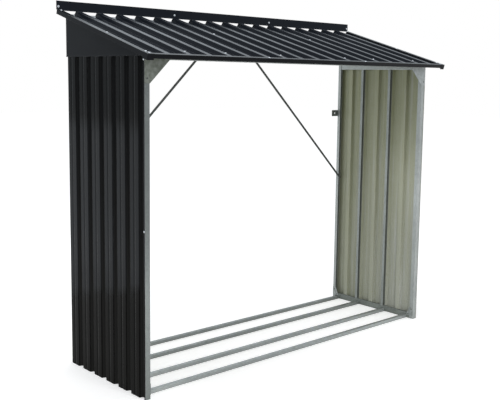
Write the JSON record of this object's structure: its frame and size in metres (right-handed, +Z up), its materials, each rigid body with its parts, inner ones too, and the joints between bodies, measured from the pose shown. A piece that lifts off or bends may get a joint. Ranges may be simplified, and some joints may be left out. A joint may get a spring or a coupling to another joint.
{
  "type": "log store",
  "caption": "Open-fronted, open-backed log store with ribbed dark sheet side walls and lean-to roof on a light galvanised frame, with floor rails, rear braces and wall brackets",
  "frame": {"origin": "on the ground, in the middle of the length and of the roof's plan depth", "axes": "+X along the length to the right as seen from the open front, +Y to the rear, +Z up"},
  "size_m": [2.416, 0.89, 2.0882],
  "materials": {
    "ribbed_sheet": "glossy",
    "folded_trim": "glossy",
    "galvanised_frame": "matte",
    "dark_strap": "matte"
  },
  "bodies": {
    "root": {"floor_rail_front": "galvanised_frame", "floor_rail_front_mid": "galvanised_frame", "floor_rail_rear_mid": "galvanised_frame", "floor_rail_rear": "galvanised_frame", "left_sole_rail": "galvanised_frame", "right_sole_rail": "galvanised_frame", "left_top_rail": "galvanised_frame", "right_top_rail": "galvanised_frame", "left_front_post": "galvanised_frame", "right_front_post": "galvanised_frame", "left_rear_post": "galvanised_frame", "right_rear_post": "galvanised_frame", "left_front_stud": "galvanised_frame", "right_front_stud": "galvanised_frame", "left_rear_stud": "galvanised_frame", "right_rear_stud": "galvanised_frame", "front_beam": "galvanised_frame", "mid_purlin": "galvanised_frame", "rear_beam": "galvanised_frame", "left_front_wall_panel": "ribbed_sheet", "left_middle_wall_panel": "ribbed_sheet", "left_rear_wall_panel": "ribbed_sheet", "right_front_wall_panel": "ribbed_sheet", "right_middle_wall_panel": "ribbed_sheet", "right_rear_wall_panel": "ribbed_sheet", "left_gable_panel": "ribbed_sheet", "right_gable_panel": "ribbed_sheet", "left_roof_panel": "ribbed_sheet", "middle_roof_panel": "ribbed_sheet", "right_roof_panel": "ribbed_sheet", "left_verge_trim": "folded_trim", "right_verge_trim": "folded_trim", "front_fascia": "folded_trim", "rear_flashing": "folded_trim", "left_corner_cap": "folded_trim", "right_corner_cap": "folded_trim", "left_front_gusset": "galvanised_frame", "right_front_gusset": "galvanised_frame", "left_foot_gussets": "galvanised_frame", "right_foot_gussets": "galvanised_frame", "left_brace": "dark_strap", "right_brace": "dark_strap", "left_wall_bracket": "dark_strap", "right_wall_bracket": "dark_strap"}
  },
  "joints": []
}
